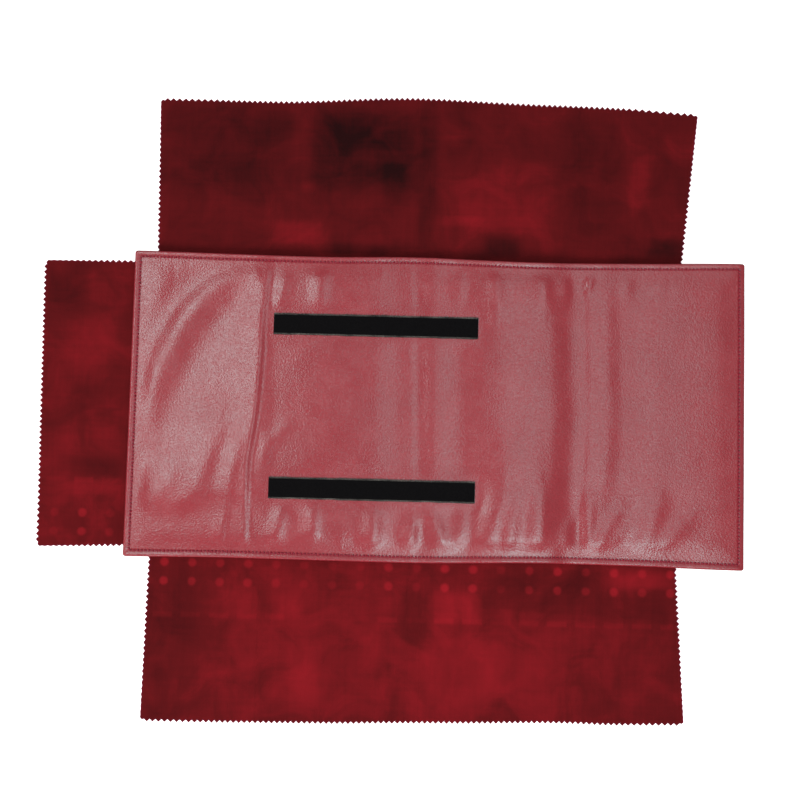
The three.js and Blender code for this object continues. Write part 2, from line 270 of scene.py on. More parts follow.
# Pressed marks in the pile: rows of round snaps, and strips with the ends of straps
MARK_PITCH = 26 * MM
MARK_ROWS = 17.3 * MM
MARK_REACH = 48 * MM
MARK_RADIUS = 4.2 * MM
MARK_START = 5 * MM
LEFT_MARK_START = 121 * MM
STRIP_HALF = 8 * MM
STRIP_FADE = 2 * MM
BAND_HALF = 1 * MM
BAND_FADE = 4 * MM

# Loop tapes: the step of the mesh, how they lie on the leather, and their woven edges
TAPE_STEP = 1.0 * MM
TAPE_EDGE = np.array((0, 0.3, 0.8, 1.4, 1.8)) * MM
TAPE_MARGIN = 15 * MM
TAPE_HOLD = 0.75
TAPE_DEPTH = 40 * MM
TAPE_SINK = 0.3 * MM
SELVAGE = 1.4 * MM
SELVAGE_HEIGHT = 0.9 * MM
SELVAGE_DROP = 0.5 * MM
SELVAGE_END = 0.6 * MM
SELVAGE_QUADS = 3
WAVER_REACH = 3 * MM

# The lining
LINING_INSET = 3.5 * MM
LINING_STEP = 4 * MM
LINING_BORDER = np.array((0, 1.5, 3, 5, 7.5, 10, 13)) * MM
LINING_START = 1 * MM
LINING_THICKNESS = 0.4 * MM
LINING_EDGE = 0.1 * MM
LINING_TUCK = 0.4 * MM

# Snap straps with their caps and studs; the shapes are shares of radius and of height
STRAP_COUNTS = {"core": 4, "middle": 5, "base": 5}
STRAP_THICKNESS = 1.2 * MM
STRAP_GAP = 0.3 * MM
LINING_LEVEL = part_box("strap_base_1")[1].z + STRAP_GAP
STRAP_COLUMNS = 13
STRAP_STEP = 4 * MM
STRAP_TIP_STEPS = np.array((0, 0.4, 1.2, 2.5, 4.5)) * MM
STRAP_TIP = 8 * MM
STRAP_TIP_WIDTH = 0.12
STRAP_EDGE = 0.3
STRAP_TIP_EASE = (-0.6 * MM, 1.5 * MM)
SEAM_DEPTH = 0.12 * MM
SEAM_PLACE = 0.78
SEAM_WIDTH = 0.06
SNAP_PLACES = (8 * MM, 24 * MM)
CAP_RADIUS = 4.5 * MM
CAP_SIDES = 24
CAP_SINK = 0.1 * MM
CAP_SHAPE = (
    (1.0, 0.0), (1.0, -0.35), (0.93, -0.6), (0.8, -0.78),
    (0.6, -0.95), (0.35, -1.0), (0.15, -0.94), (0.01, -0.92),
)
STUD_RADIUS = 3.2 * MM
STUD_HEIGHT = 0.2 * MM
STUD_SIDES = 18
STUD_SHAPE = ((1.0, 0.25), (1.0, -0.5), (0.7, -0.9), (0.5, -1.0), (0.01, -1.0))

# Hook patches
HOOK_STEP = 0.8 * MM
HOOK_BASE = 0.8 * MM
HOOK_HEIGHT = 0.7 * MM
HOOK_MARGIN = (1.2 * MM, 1.6 * MM)


def smooth_step(value, low, high):
    """Goes from 0 at low to 1 at high with no corners."""
    t = np.clip((value - low) / (high - low), 0, 1)
    return t * t * (3 - 2 * t)


def eased(places, nodes):
    """A smooth line through nodes of place and height that never overshoots them."""
    xs, zs = np.array(nodes, float).T
    rise = np.diff(zs) / np.diff(xs)
    product = np.maximum(rise[:-1] * rise[1:], 0)
    total = np.where(product > 0, rise[:-1] + rise[1:], 1)
    tangent = np.pad(2 * product / total, 1)
    k = np.clip(np.searchsorted(xs, places) - 1, 0, len(xs) - 2)
    width = xs[k + 1] - xs[k]
    t = np.clip((places - xs[k]) / width, 0, 1)
    start = (1 + 2 * t) * zs[k] + t * width * tangent[k]
    end = (3 - 2 * t) * zs[k + 1] - (1 - t) * width * tangent[k + 1]
    return start * (1 - t) ** 2 + end * t ** 2


def spaced(low, high, step):
    """Even places from low to high, about one step apart."""
    return np.linspace(low, high, max(1, round((high - low) / step)) + 1)


def lattice_noise(x, y, cell, seed):
    """Smooth seeded noise from -1 to 1, with features about one cell wide."""
    table = np.random.default_rng(seed).uniform(-1, 1, (NOISE_TABLE, NOISE_TABLE))
    u, v = x / cell, y / cell
    i, j = np.floor(u).astype(int), np.floor(v).astype(int)
    a, b = smooth_step(u - i, 0, 1), smooth_step(v - j, 0, 1)
    i, j, right, above = (k % NOISE_TABLE for k in (i, j, i + 1, j + 1))
    low = table[i, j] * (1 - a) + table[right, j] * a
    high = table[i, above] * (1 - a) + table[right, above] * a
    return low * (1 - b) + high * b


def uneven(x, y, layers):
    """The sum of layers of smooth noise."""
    return sum(height * lattice_noise(x, y, cell, seed) for height, cell, seed in layers)


def rounded_path(points, steps=6):
    """A smooth curve through a few points."""
    p = np.array([points[0], *points, points[-1]], float)
    out = []
    for k in range(1, len(p) - 2):
        for t in np.linspace(0, 1, steps, endpoint=False):
            a = 2 * p[k] + (p[k + 1] - p[k - 1]) * t
            b = (2 * p[k - 1] - 5 * p[k] + 4 * p[k + 1] - p[k + 2]) * t * t
            c = (3 * p[k] - p[k - 1] - 3 * p[k + 1] + p[k + 2]) * t ** 3
            out.append((a + b + c) / 2)
    return np.array(out + [p[-1]])


def wrinkle(x, y, points, height, west, east, crest=2.0):
    """A wrinkle along a path from top to bottom; its left side is round at a crest of 2, sharp nearer 1."""
    path = rounded_path(points) * MM
    reach = WRINKLE_REACH * max(west, east) * MM
    low, high = path.min(0) - reach, path.max(0) + reach
    near = (x > low[0]) & (x < high[0]) & (y > low[1]) & (y < high[1])
    places = np.stack([x[near], y[near]], -1)
    lengths = np.linalg.norm(np.diff(path, axis=0), axis=1)
    start = np.concatenate([[0], np.cumsum(lengths)])
    best, side, along = np.full(len(places), np.inf), np.zeros(len(places)), np.zeros(len(places))
    for k, length in enumerate(lengths):
        d = (path[k + 1] - path[k]) / length
        away = places - path[k]
        t = np.clip(away @ d, 0, length)
        gap = np.linalg.norm(away - t[:, None] * d, axis=1)
        closer = gap < best
        best = np.where(closer, gap, best)
        side = np.where(closer, d[0] * away[:, 1] - d[1] * away[:, 0], side)
        along = np.where(closer, (start[k] + t) / start[-1], along)
    width = np.where(side > 0, east, west) * MM
    power = np.where(side > 0, 2.0, crest)
    fade = np.sin(np.pi * (WRINKLE_END + (1 - 2 * WRINKLE_END) * along))
    lift = np.zeros(x.shape)
    lift[near] = height * MM * np.exp(-((best / width) ** power)) * fade
    return lift


def srgb(red, green, blue):
    """A display colour from 0 to 255 as a linear colour."""
    shares = [c / 255 for c in (red, green, blue)]
    linear = [c / 12.92 if c <= 0.04045 else ((c + 0.055) / 1.055) ** 2.4 for c in shares]
    return (*linear, 1.0)


class Look:
    """A new material, whose textures stay fixed to the rest place of each point."""

    def __init__(self, name):
        self.material = bpy.data.materials.new(name)
        self.material.use_nodes = True
        self.shader = self.material.node_tree.nodes["Principled BSDF"]
        self.rest = self.node("Attribute", attribute_name="rest").outputs["Vector"]

    def fill(self, node, values):
        """Gives sockets a constant or a link."""
        for key, value in values.items():
            if isinstance(value, bpy.types.NodeSocket):
                self.material.node_tree.links.new(value, node.inputs[key])
            else:
                node.inputs[key].default_value = value

    def node(self, kind, values=None, **settings):
        node = self.material.node_tree.nodes.new("ShaderNode" + kind)
        for key, value in settings.items():
            setattr(node, key, value)
        self.fill(node, values or {})
        return node

    def math(self, operation, *values):
        return self.node("Math", dict(enumerate(values)), operation=operation).outputs[0]

    def apart(self, first, second):
        return self.math("ABSOLUTE", self.math("SUBTRACT", first, second))

    def noise(self, scale, detail=2.0, rough=0.5, distortion=0.0):
        """Noise with features of about 1 / scale metres, with one scale or one for each axis."""
        place = self.rest
        if isinstance(scale, tuple):
            place = self.node("Mapping", {"Vector": place, "Scale": scale}).outputs["Vector"]
            scale = 1.0
        values = {"Vector": place, "Scale": scale, "Detail": detail, "Roughness": rough}
        return self.node("TexNoise", {**values, "Distortion": distortion}).outputs["Fac"]

    def ranged(self, value, low, high, to_low, to_high):
        """A value eased from one range to another."""
        values = {"Value": value, "From Min": low, "From Max": high, "To Min": to_low, "To Max": to_high}
        return self.node("MapRange", values, interpolation_type="SMOOTHSTEP").outputs["Result"]

    def ramp(self, factor, stops):
        """A colour ramp through stops of place and colour."""
        node = self.node("ValToRGB", {"Fac": factor})
        elements = node.color_ramp.elements
        while len(elements) < len(stops):
            elements.new(0.5)
        for element, (place, colour) in zip(elements, stops):
            element.position = place
            element.color = srgb(*colour)
        return node.outputs["Color"]

    def dress(self, height, strength, distance, values):
        """Gives the shader its relief and values; the material is then ready."""
        relief = {"Height": height, "Strength": strength, "Distance": distance}
        self.fill(self.shader, {"Normal": self.node("Bump", relief).outputs["Normal"], **values})
        return self.material


def painted_edge_shade(look):
    """Painted shade that makes the leather darker and duller: in the stitch channel and on the side of the
    turned rim.
    """
    inset = look.node("Attribute", attribute_name="edge_inset").outputs["Fac"]
    away = look.apart(inset, STITCH_INSET)
    line = look.ranged(away, 0.3 * CHANNEL_WIDTH, CHANNEL_WIDTH, CHANNEL_SHADE, 0.0)
    rim = look.ranged(inset, RIM_INSET, 0.0, 1.0, 0.0)
    return look.math("MAXIMUM", line, rim)


def leather_material():
    """Imitation leather with a fine pebbled grain, and painted shade along the stitch line and on the rim."""
    look = Look("leather")
    cells = look.node("TexVoronoi", {"Vector": look.rest, "Scale": 620}).outputs["Distance"]
    # Painted shade: the stitch channel and the rim's side are darkened and their highlights dimmed
    painted_shade = painted_edge_shade(look)
    shade = look.math("MULTIPLY_ADD", look.noise(30, 4, 0.6), 0.5, look.math("MULTIPLY", cells, 0.35))
    shade = look.math("MULTIPLY_ADD", painted_shade, -0.4, shade)
    stops = ((0.0, (96, 10, 26)), (0.14, (126, 31, 39)), (0.45, (136, 36, 44)), (0.8, (147, 43, 51)))
    shine = look.ranged(look.noise(680, 1), 0.25, 0.75, 0.48, 0.87)
    return look.dress(look.math("MULTIPLY", cells, -1.0), 0.9, 0.12 * MM, {
        "Base Color": look.ramp(shade, stops),
        "Roughness": look.ranged(look.noise(60, 3), 0.3, 0.7, 0.22, 0.28),
        "Specular IOR Level": look.math("MULTIPLY", shine, look.ranged(painted_shade, 0.0, 1.0, 1.0, 0.25)),
        "Specular Tint": (0.65, 1.0, 1.0, 1.0),
    })


def mark_pattern(look):
    """Marks that snaps and strap ends have pressed into the pile."""
    place = look.node("SeparateXYZ", {"Vector": look.rest}).outputs
    on_left = look.math("LESS_THAN", place["X"], LEFT)
    low = look.math("SUBTRACT", -HALF_WIDTH - MARK_START, place["Y"])
    high = look.math("ADD", place["Y"], LEFT_MARK_START)
    down = look.node("Mix", {"Factor": on_left, "A": low, "B": high}).outputs["Result"]
    cell = look.math("ROUND", look.math("DIVIDE", place["X"], MARK_PITCH))
    across = look.math("ABSOLUTE", look.math("MULTIPLY_ADD", cell, -MARK_PITCH, place["X"]))
    row = look.math("MINIMUM", look.math("ABSOLUTE", down), look.apart(down, MARK_ROWS))
    gap = look.math("SQRT", look.math("MULTIPLY_ADD", across, across, look.math("MULTIPLY", row, row)))
    spot = look.ranged(gap, MARK_RADIUS * 0.5, MARK_RADIUS * 1.3, 1.0, 0.0)
    strip = look.ranged(across, STRIP_HALF, STRIP_HALF + STRIP_FADE, 0.35, 0.0)
    limits = (
        look.ranged(look.apart(down, MARK_REACH), BAND_HALF, BAND_FADE, 1.0, 0.25),
        look.ranged(down, MARK_REACH + BAND_HALF, MARK_REACH + BAND_FADE, 1.0, 0.0),
        look.ranged(down, MARK_ROWS, MARK_ROWS + BAND_FADE, 0.0, 1.0),
    )
    for limit in limits:
        strip = look.math("MULTIPLY", strip, limit)
    chance = look.node("TexWhiteNoise", {"W": cell}, noise_dimensions="1D").outputs["Value"]
    marks = look.math("ADD", spot, strip)
    return look.math("MULTIPLY", marks, look.ranged(chance, 0.0, 1.0, 0.3, 1.0))


def velvet_material():
    """Dark red velvet with patches of pile lay and of painted light and shade, and pressed marks."""
    look = Look("velvet")
    pile = look.noise(2200, 2, 0.7)
    layers = (
        # Patches of pile lay and of painted light and shade
        (look.node("Attribute", attribute_name="pile_lay_and_light").outputs["Fac"], 0.36),
        (look.noise((260, 22, 1), 2, 0.5, 0.3), 0.07),
        (look.noise((22, 260, 1), 2, 0.5, 0.3), 0.07),
        (mark_pattern(look), 0.28),
        (pile, 0.1),
    )
    shade = look.math("MULTIPLY", look.noise(26, 4, 0.55, 0.8), 0.45)
    for layer, share in layers:
        shade = look.math("MULTIPLY_ADD", layer, share, shade)
    stops = ((0.01, (31, 7, 8)), (0.36, (83, 14, 17)), (0.76, (134, 21, 29)))
    return look.dress(pile, 0.35, 0.15 * MM, {
        "Base Color": look.ramp(shade, stops), "Roughness": 0.95, "Specular IOR Level": 0.08,
        "Sheen Weight": 0.12, "Sheen Roughness": 0.4, "Sheen Tint": srgb(190, 50, 70),
    })


def lining_material():
    """The velvet of the inside."""
    look = Look("lining")
    stops = ((0.3, (58, 12, 16)), (0.7, (104, 22, 30)))
    return look.dress(look.noise(2200, 2, 0.7), 0.35, 0.15 * MM, {
        "Base Color": look.ramp(look.noise(22, 4, 0.55, 0.5), stops), "Roughness": 0.95,
        "Specular IOR Level": 0.1, "Sheen Weight": 0.25, "Sheen Tint": srgb(190, 50, 70),
    })


def fibre_material(name, noise, stops, relief, values):
    """A material whose colour and relief follow one fine noise."""
    look = Look(name)
    fibres = look.noise(*noise)
    return look.dress(fibres, *relief, {"Base Color": look.ramp(fibres, stops), **values})


def cut_edge_material():
    """The cut edge of the velvet, where the paler backing shows."""
    stops = ((0.3, (96, 26, 50)), (0.7, (140, 48, 80)))
    values = {"Roughness": 0.9, "Specular IOR Level": 0.15}
    return fibre_material("velvet_cut_edge", (1800, 2), stops, (0.5, 0.1 * MM), values)


def tape_material():
    """The black looped pile of a fastening tape."""
    stops = ((0.35, (5, 4, 5)), (0.75, (16, 14, 15)))
    values = {"Roughness": 0.95, "Specular IOR Level": 0.08}
    return fibre_material("tape", (1500, 3, 0.7), stops, (0.8, 0.3 * MM), values)


def thread_material():
    """Dark red sewing thread."""
    stops = ((0.3, (104, 6, 28)), (0.7, (142, 16, 44)))
    return fibre_material("thread", (1600, 2), stops, (0.5, 0.08 * MM), {"Roughness": 0.6})


def hook_material():
    """The stiff black hooks of a fastening patch."""
    stops = ((0.3, (14, 14, 15)), (0.7, (40, 40, 42)))
    return fibre_material("hooks", (900, 2), stops, (0.6, 0.3 * MM), {"Roughness": 0.45})


def selvage_material():
    """The woven greyish edge of a tape, worn here and there."""
    look = Look("tape_selvage")
    weave = look.noise((900, 1500, 1500), 2)
    wear = look.math("MULTIPLY", weave, look.noise(60, 3))
    return look.dress(weave, 0.6, 0.15 * MM, {
        "Base Color": look.ramp(wear, ((0.12, (16, 15, 15)), (0.45, (88, 82, 77)))),
        "Roughness": 0.85, "Specular IOR Level": 0.2,
    })


def metal_material():
    """Nickelled snap caps with fine scuffs."""
    look = Look("snap_metal")
    scuff = look.noise((3000, 400, 400), 3)
    return look.dress(scuff, 0.1, 0.05 * MM, {
        "Base Color": srgb(196, 192, 186), "Metallic": 1.0,
        "Roughness": look.ranged(scuff, 0.3, 0.7, 0.18, 0.34),
    })


def floor_material():
    """A plain white light table."""
    look = Look("floor")
    look.fill(look.shader, {
        "Base Color": srgb(250, 250, 250), "Roughness": 0.9,
        "Emission Color": (1, 1, 1, 1), "Emission Strength": FLOOR_GLOW,
    })
    return look.material


def mesh_piece(name, points, faces, materials, slots=None, normals=None):
    """A smooth-shaded piece whose points keep their rest place for the textures."""
    mesh = bpy.data.meshes.new(name)
    mesh.from_pydata([tuple(p) for p in points], [], [tuple(map(int, f)) for f in faces])
    for material in materials:
        mesh.materials.append(material)
    if slots is not None:
        mesh.polygons.foreach_set("material_index", np.array(slots, np.int32))
    mesh.polygons.foreach_set("use_smooth", np.ones(len(mesh.polygons), bool))
    rest = mesh.attributes.new("rest", "FLOAT_VECTOR", "POINT")
    rest.data.foreach_set("vector", np.array(points, np.float32).ravel())
    mesh.update()
    if normals is None:
        mesh.set_sharp_from_angle(angle=SHARP_ANGLE)
    else:
        mesh.normals_split_custom_set_from_vertices([tuple(n) for n in normals])
    piece = bpy.data.objects.new(name, mesh)
    bpy.context.scene.collection.objects.link(piece)
    return piece


def add_layer(piece, name, values):
    """A value for each point, which the material reads."""
    layer = piece.data.attributes.new(name, "FLOAT", "POINT")
    layer.data.foreach_set("value", values.astype(np.float32))


def point_normals(points, faces):
    """Area-weighted normals of the points of a mesh of quads."""
    f = np.array(faces)
    across = np.cross(points[f[:, 2]] - points[f[:, 0]], points[f[:, 3]] - points[f[:, 1]])
    total = np.zeros_like(points)
    for k in range(4):
        np.add.at(total, f[:, k], across)
    return total / np.maximum(np.linalg.norm(total, axis=1, keepdims=True), 1e-12)


def grid_faces(columns, rows, first=0):
    """The quads of a grid whose points run column by column."""
    index = first + np.arange(columns * rows).reshape(columns, rows)
    return np.stack([index[:-1, :-1], index[1:, :-1], index[1:, 1:], index[:-1, 1:]], -1).reshape(-1, 4)


def grid_border(columns, rows):
    """The border points of a grid, against the clock from above."""
    index = np.arange(columns * rows).reshape(columns, rows)
    return np.concatenate([index[:-1, 0], index[-1, :-1], index[:0:-1, -1], index[0, :0:-1]])


def closed_sheet(top, bottom):
    """Points and quads of a sheet between two grids, and the kind of each quad: top, bottom or side."""
    columns, rows = top.shape[:2]
    count = columns * rows
    points = np.concatenate([top.reshape(-1, 3), bottom.reshape(-1, 3)])
    upper = grid_faces(columns, rows)
    lower = grid_faces(columns, rows, count)[:, ::-1]
    ring = grid_border(columns, rows)
    after = np.roll(ring, -1)
    sides = np.stack([ring + count, after + count, after, ring], -1)
    kinds = np.repeat([0, 1, 2], [len(upper), len(lower), len(sides)])
    return points, np.concatenate([upper, lower, sides]), kinds


def ring_faces(rings, sides):
    """The quads between rings of points."""
    index = np.arange(rings * sides).reshape(rings, sides)
    after = np.roll(index, -1, axis=1)
    return np.stack([index[:-1], index[1:], after[1:], after[:-1]], -1).reshape(-1, 4)


def circle(sides):
    """Points of a unit circle."""
    turn = 2 * math.pi * np.arange(sides) / sides
    return np.stack([np.cos(turn), np.sin(turn)], -1)


def add_shape(points, faces, shape):
    """Adds a shape's points and quads to a mesh."""
    faces.extend(shape[1] + len(points))
    points.extend(shape[0])


def bent_piece(kind, k, slot, *mesh, **options):
    """A piece of the panel, named for the fold between two sections."""
    first, second, reach = BENDS[k]
    piece = mesh_piece(f"{kind}_{first}_to_{second}", *mesh, **options)
    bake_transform(piece)
    return piece


def make_stretches(kind, points, faces, material, nodes):
    """Cuts a panel into pieces that keep its normals; each comes with its points' numbers."""
    normals = point_normals(points, faces)
    stretch = np.searchsorted(CUTS, points[faces][:, :, 0].mean(1))
    pieces = []
    for k, sections in enumerate(STRETCHES):
        chosen = faces[stretch == k]
        used, renumbered = np.unique(chosen, return_inverse=True)
        quads = renumbered.reshape(chosen.shape)
        piece = bent_piece(kind, k, kind, points[used], quads, [material], normals=normals[used])
        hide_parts(*(node for section in sections for node in nodes[section]))
        pieces.append((piece, used))
    return pieces


def panel_places(inset=0.0, step=LEATHER_STEP, border=BORDER_STEPS):
    """The columns and rows of a panel grid, finer at the border."""
    low, high, half = LEFT + inset, RIGHT - inset, HALF_WIDTH - inset
    stops = [low + border[-1], *CUTS, high - border[-1]]
    inner = [spaced(a, b, step)[:-1] for a, b in zip(stops, stops[1:])]
    columns = np.concatenate([low + border[:-1], *inner, (high - border)[::-1]])
    rows = spaced(-half + border[-1], half - border[-1], step)
    rows = np.concatenate([-half + border[:-1], rows, (half - border[:-1])[::-1]])
    return columns, rows


def edge_waves(x, y):
    """How far the long edges of the panel draw in."""
    return np.where(y > 0, eased(x / MM, UPPER_EDGE), eased(x / MM, LOWER_EDGE)) * MM


def panel_plan(columns, rows, inset=0.0, radius=CORNER_RADIUS):
    """A panel grid's x, y and distance from the edge, with round corners."""
    x, y = np.meshgrid(columns, rows, indexing="ij")
    low, high, half = LEFT + inset, RIGHT - inset, HALF_WIDTH - inset
    from_x, from_y = np.minimum(x - low, high - x), half - np.abs(y)
    depth = np.minimum(from_x, from_y)
    u, v = np.clip(1 - from_x / radius, 0, 1), np.clip(1 - from_y / radius, 0, 1)
    share = np.maximum(u, v) / np.maximum(np.hypot(u, v), 1e-9)
    corner = (u > 0) & (v > 0)
    x = np.where(corner, x + np.sign(x - (low + high) / 2) * (u * share - u) * radius, x)
    y = np.where(corner, y + np.sign(y) * (v * share - v) * radius, y)
    return x, y * (1 + edge_waves(x, y) / half), depth


def tape_span(side):
    """The ends and the sides of a loop tape."""
    low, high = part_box(f"loop_{side}_middle")[0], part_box(f"loop_{side}_base")[1]
    return low.x, high.x, low.y, high.y


def under_tape(x, y):
    """1 under the loop tapes, falling to 0 within the margin round them."""
    cover = np.zeros(x.shape)
    for side in ("upper", "lower"):
        low_x, high_x, low_y, high_y = tape_span(side)
        gap = np.hypot(x - np.clip(x, low_x, high_x), y - np.clip(y, low_y, high_y))
        cover = np.maximum(cover, 1 - smooth_step(gap, 0, TAPE_MARGIN))
    return cover


def puckers(x, y):
    """Small seeded gathers at right angles to the long edges."""
    rng = np.random.default_rng(7)
    total = np.zeros(x.shape)
    for _ in range(PUCKER_COUNT):
        place = rng.uniform(LEFT + PUCKER_MARGIN, RIGHT - PUCKER_MARGIN)
        side = rng.choice([-1, 1])
        height = rng.uniform(-PUCKER_HEIGHT, PUCKER_HEIGHT)
        width = rng.uniform(*PUCKER_WIDTHS)
        length = rng.uniform(*PUCKER_LENGTHS)
        lean = rng.uniform(-PUCKER_LEAN, PUCKER_LEAN)
        near = np.abs(x - place) < PUCKER_REACH * width + length
        inward = HALF_WIDTH - side * y[near]
        gap = (x[near] - place - lean * inward) / width
        total[near] += height * np.exp(-gap ** 2 - (inward / length) ** 2)
    return total


def edge_level(x):
    """The level of the panel's edge: higher at the left and at the right, where it turns down."""
    left = LEFT_EDGE_RISE * (1 - smooth_step(x, LEFT, LEFT + LEFT_RISE_REACH))
    right = RIGHT_EDGE_RISE * smooth_step(x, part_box("top_flap_closing")[1].x, RIGHT - RIGHT_RISE_STOP)
    turn = RIGHT_EDGE_TURN * smooth_step(x, RIGHT - STITCH_INSET, RIGHT)
    return EDGE_LEVEL + left + right - turn


def border_profile(depth):
    """The turned border: a round lip that falls to the stitch line."""
    outer = 1 - np.clip(depth / LIP_CREST, 0, 1)
    return LIP_HEIGHT * np.sqrt(1 - outer ** 2) - LIP_FALL * smooth_step(depth, LIP_CREST, STITCH_INSET)


def leather_height(x, y, depth):
    """The upper surface of the leather: a stitched border round a padded, wrinkled field."""
    tuck = TUCK_PULL * smooth_step(-y, 0, HALF_WIDTH) * np.exp(-((x - TUCK_PLACE) / TUCK_REACH) ** 2)
    waves = eased((x + CREASE_LEAN * y + tuck) / MM, WAVES) * MM
    waves = waves * (1 + uneven(x, y, WAVE_CHANGE)) + uneven(x, y, FIELD_DENTS)
    folds = puckers(x, y)
    for shape in WRINKLES:
        folds = folds + wrinkle(x, y, *shape)
    free = 1 - TAPE_HOLD * under_tape(x, y)
    near = smooth_step(depth, STITCH_INSET, STITCH_INSET + NEAR_RISE)
    far = smooth_step(depth, STITCH_INSET, STITCH_INSET + FAR_RISE)
    foot = edge_level(x) + EDGE_FOLLOW * waves + border_profile(depth)
    field = FIELD_LEVEL + waves * free
    level = foot + (field - foot) * (NEAR_SHARE * near + (1 - NEAR_SHARE) * far) + folds * free * near
    level = LOWEST_FIELD + np.log1p(np.exp((level - LOWEST_FIELD) / FIELD_EASE)) * FIELD_EASE
    return level - STITCH_GROOVE * np.exp(-((depth - STITCH_INSET) / GROOVE_WIDTH) ** 2)


def panel_rim(points, columns, rows):
    """Rings that wrap the leather's edge under, with their quads."""
    ring = grid_border(columns, rows)
    edge = points[ring]
    along = np.roll(edge, -1, axis=0) - np.roll(edge, 1, axis=0)
    out = np.stack([along[:, 1], -along[:, 0]], -1)
    out = out / np.linalg.norm(out, axis=1, keepdims=True)
    count = len(ring)
    rings, faces = [], []
    before = ring
    for k, (reach, share) in enumerate(RIM):
        moved = edge.copy()
        moved[:, :2] += out * reach * MM
        moved[:, 2] += (RIM_LEVEL - edge[:, 2]) * share
        rings.append(moved)
        now = len(points) + k * count + np.arange(count)
        faces.append(np.stack([np.roll(before, -1), before, now, np.roll(now, -1)], -1))
        before = now
    return np.concatenate(rings), np.concatenate(faces)


def make_leather(material):
    """The padded leather panel."""
    columns, rows = panel_places()
    x, y, depth = panel_plan(columns, rows)
    points = np.stack([x, y, leather_height(x, y, depth)], -1).reshape(-1, 3)
    rings, rim_faces = panel_rim(points, len(columns), len(rows))
    faces = np.concatenate([grid_faces(len(columns), len(rows)), rim_faces])
    inset = np.concatenate([depth.ravel(), np.full(len(rings), RIM_INSET)])
    nodes = {name: ["cover_" + name] + ["padding_" + name] * ("spine" not in name) for name in SECTIONS}
    points = np.concatenate([points, rings])
    for piece, used in make_stretches("leather", points, faces, material, nodes):
        add_layer(piece, "edge_inset", inset[used])


def stitch(centre, along):
    """One stitch: a short thread that dips into the leather at both ends."""
    up = np.array([0.0, 0.0, 1.0])
    side = np.cross(up, along)
    points = []
    for reach, girth, lift in STITCH_SHAPE:
        middle = centre + along * reach * STITCH_LENGTH + up * lift * THREAD_RADIUS
        points.extend(middle + (side * a + up * b) * girth * THREAD_RADIUS for a, b in circle(STITCH_SIDES))
    return points, ring_faces(len(STITCH_SHAPE), STITCH_SIDES)


def stitch_line():
    """The centres of the stitches round the border."""
    low_x, high_x = LEFT + STITCH_INSET, RIGHT - STITCH_INSET
    half = HALF_WIDTH - STITCH_INSET
    corners = np.array([(low_x, -half), (high_x, -half), (high_x, half), (low_x, half)])
    centres = []
    for start, stop in zip(corners, np.roll(corners, -1, axis=0)):
        count = round(math.dist(start, stop) / STITCH_PITCH)
        centres.append(start + (stop - start) * (np.arange(count)[:, None] + 0.5) / count)
    return np.concatenate(centres)


def make_stitches(material):
    """The thread of the border, in groups, one for each stretch of the leather."""
    flat = stitch_line()
    ways = np.roll(flat, -1, axis=0) - np.roll(flat, 1, axis=0)
    ways = ways / np.linalg.norm(ways, axis=1, keepdims=True)
    x = flat[:, 0]
    y = flat[:, 1] * (1 + edge_waves(x, flat[:, 1]) / HALF_WIDTH)
    z = leather_height(x, y, np.full(len(x), STITCH_INSET)) + STITCH_LIFT * THREAD_RADIUS
    groups = [([], []) for _ in BENDS]
    for centre, way in zip(np.stack([x, y, z], -1), ways):
        points, faces = groups[int(np.searchsorted(CUTS, centre[0]))]
        add_shape(points, faces, stitch(centre, np.array([*way, 0.0])))
    for k, (points, faces) in enumerate(groups):
        bent_piece("stitches", k, "leather", points, faces, [material])


def tooth(place, low, high):
    """How far the teeth of a pinked edge stand out at a place."""
    count = round((high - low) / PINK_PITCH)
    share = (place - low) / (high - low) * count
    return PINK_DEPTH * (1 - np.abs(2 * (share - np.floor(share)) - 1))


def tooth_places(low, high, start, stop):
    """The points and notches of the teeth from start to stop."""
    count = round((high - low) / PINK_PITCH)
    all_places = np.linspace(low, high, 2 * count + 1)
    inside = all_places[(all_places > start + TOOTH_GAP) & (all_places < stop - TOOTH_GAP)]
    return np.concatenate([[start], inside, [stop]])


def cloth_height(x, y):
    """The lower face of a flap: nearly flat, with slow waves."""
    return CLOTH_WAVE * (0.5 + uneven(x, y, CLOTH_WAVES))


def pile_lay_and_light(x, y):
    """How much lighter or darker the velvet is painted at a place, for the lay of its pile and as painted
    light and shade.
    """
    total = np.zeros(x.shape)
    for middle_x, middle_y, half_width, half_height, amount in PILE_AND_LIGHT_PATCHES:
        u, v = (x / MM - middle_x) / half_width, (y / MM - middle_y) / half_height
        total += amount * np.exp(-(u ** 4) - v ** 4)
    return total


def flap_plan(side, columns, span, depth, is_first, is_last):
    """Plan of a leaf: places along the root and out from it, with pinked edges, and 1 at the hem."""
    low, high = span
    root, tip = depth
    steps = root + np.array(ROOT_STEPS)
    field = spaced(steps[-1], tip - PINK_DEPTH - PINK_MARGIN, CLOTH_STEP)
    rows = np.concatenate([steps[:-1], field, [tip - CUT_WIDTH, tip]])
    along, out = np.meshgrid(columns, rows, indexing="ij")
    reach = np.clip((out - root) / (tip - root), 0, 1)
    out = out + eased(along / MM, TIP_OFFSETS[side]) * MM * reach
    out[:, -2:] += (tooth(columns, low, high) - PINK_DEPTH)[:, None]
    low_root, low_tip, high_root, high_tip = (offset * MM for offset in SIDE_OFFSETS[side])
    near_low = 1 - smooth_step(along, low, low + SIDE_FADE)
    near_high = smooth_step(along, high - SIDE_FADE, high)
    along = along - (low_root + (low_tip - low_root) * reach) * near_low
    along = along + (high_root + (high_tip - high_root) * reach) * near_high
    side_teeth = tooth(rows, root, tip) - PINK_DEPTH
    along[:2] -= side_teeth * is_first
    along[-2:] += side_teeth * is_last
    return along, out, 1 - smooth_step(out, root - HEM_START, root + HEM_END)


